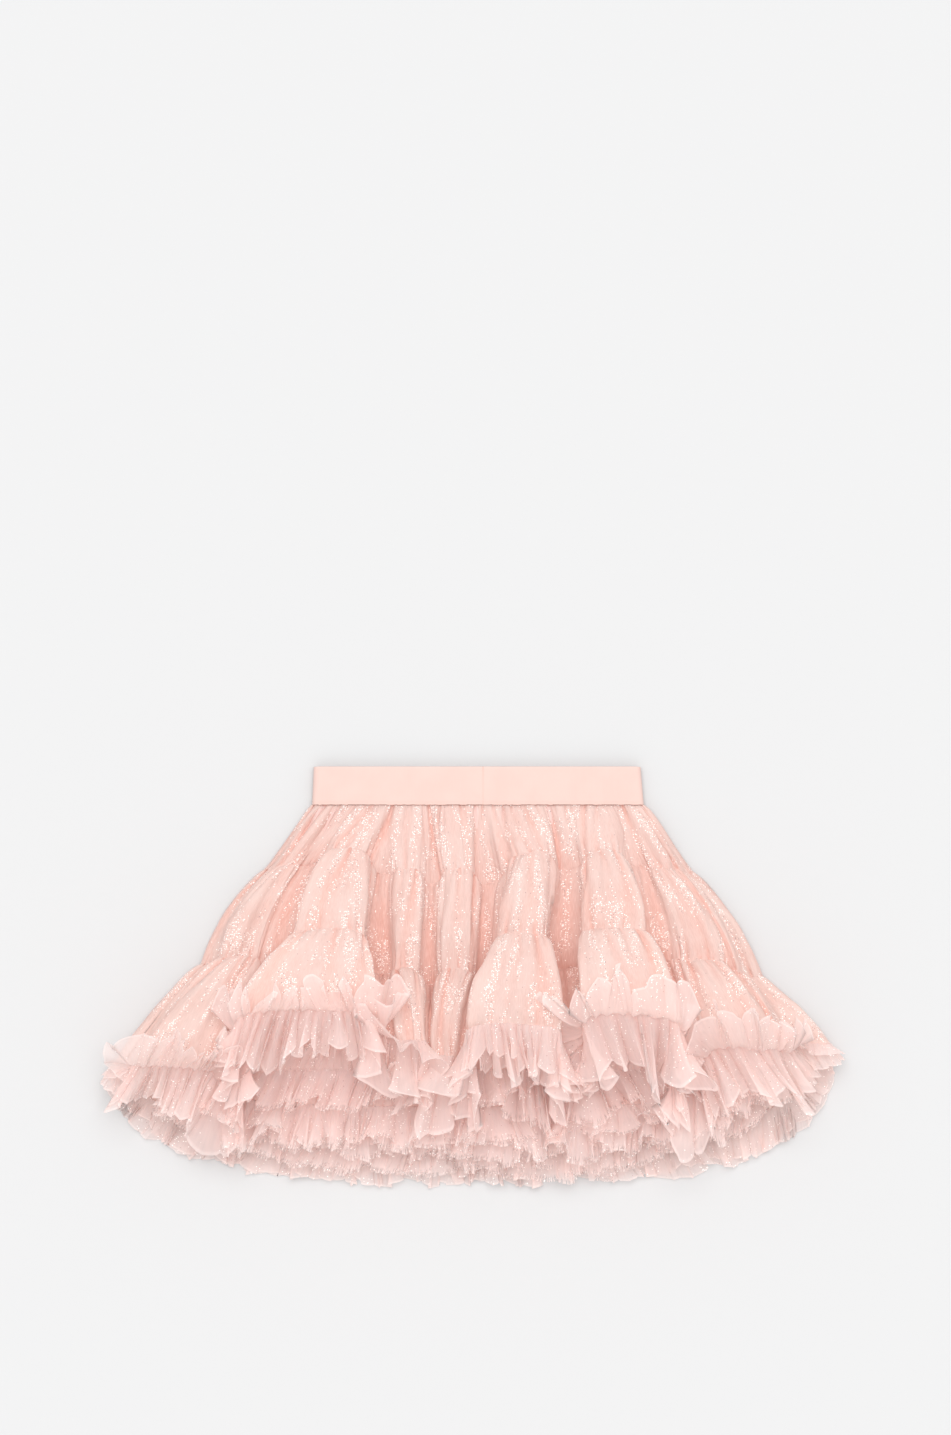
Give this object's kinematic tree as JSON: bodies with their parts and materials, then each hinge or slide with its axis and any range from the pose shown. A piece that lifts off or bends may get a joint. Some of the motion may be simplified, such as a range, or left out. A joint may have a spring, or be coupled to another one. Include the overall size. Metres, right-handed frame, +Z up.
{
  "type": "tulle skirt",
  "caption": "Child's tulle skirt laid flat on its back: elastic waistband, gathered tiers standing in tall flutes, petticoats inside and a gathered ruffle on every hem.",
  "frame": {"origin": "on the surface that the skirt lies on, under the middle of its laid outline", "axes": "+X across the skirt to the right in the picture, +Y from the hems towards the waistband, +Z up from the surface through the front"},
  "size_m": [0.5896, 0.3328, 0.0834],
  "materials": {
    "waistband_elastic": "smooth matt knitted elastic",
    "glitter_tulle": "fine net with scattered foil dots",
    "ruffle_tulle": "fine net, folded and gathered, with scattered foil dots",
    "petticoat_tulle": "fine matt net"
  },
  "bodies": {
    "root": {"waistband": "waistband_elastic", "upper_tier": "glitter_tulle", "middle_tier": "glitter_tulle", "lower_tier": "glitter_tulle", "hem_ruffle": "ruffle_tulle", "petticoat_1": "petticoat_tulle", "petticoat_ruffle_1": "ruffle_tulle", "petticoat_2": "petticoat_tulle", "petticoat_ruffle_2": "ruffle_tulle"}
  },
  "joints": []
}
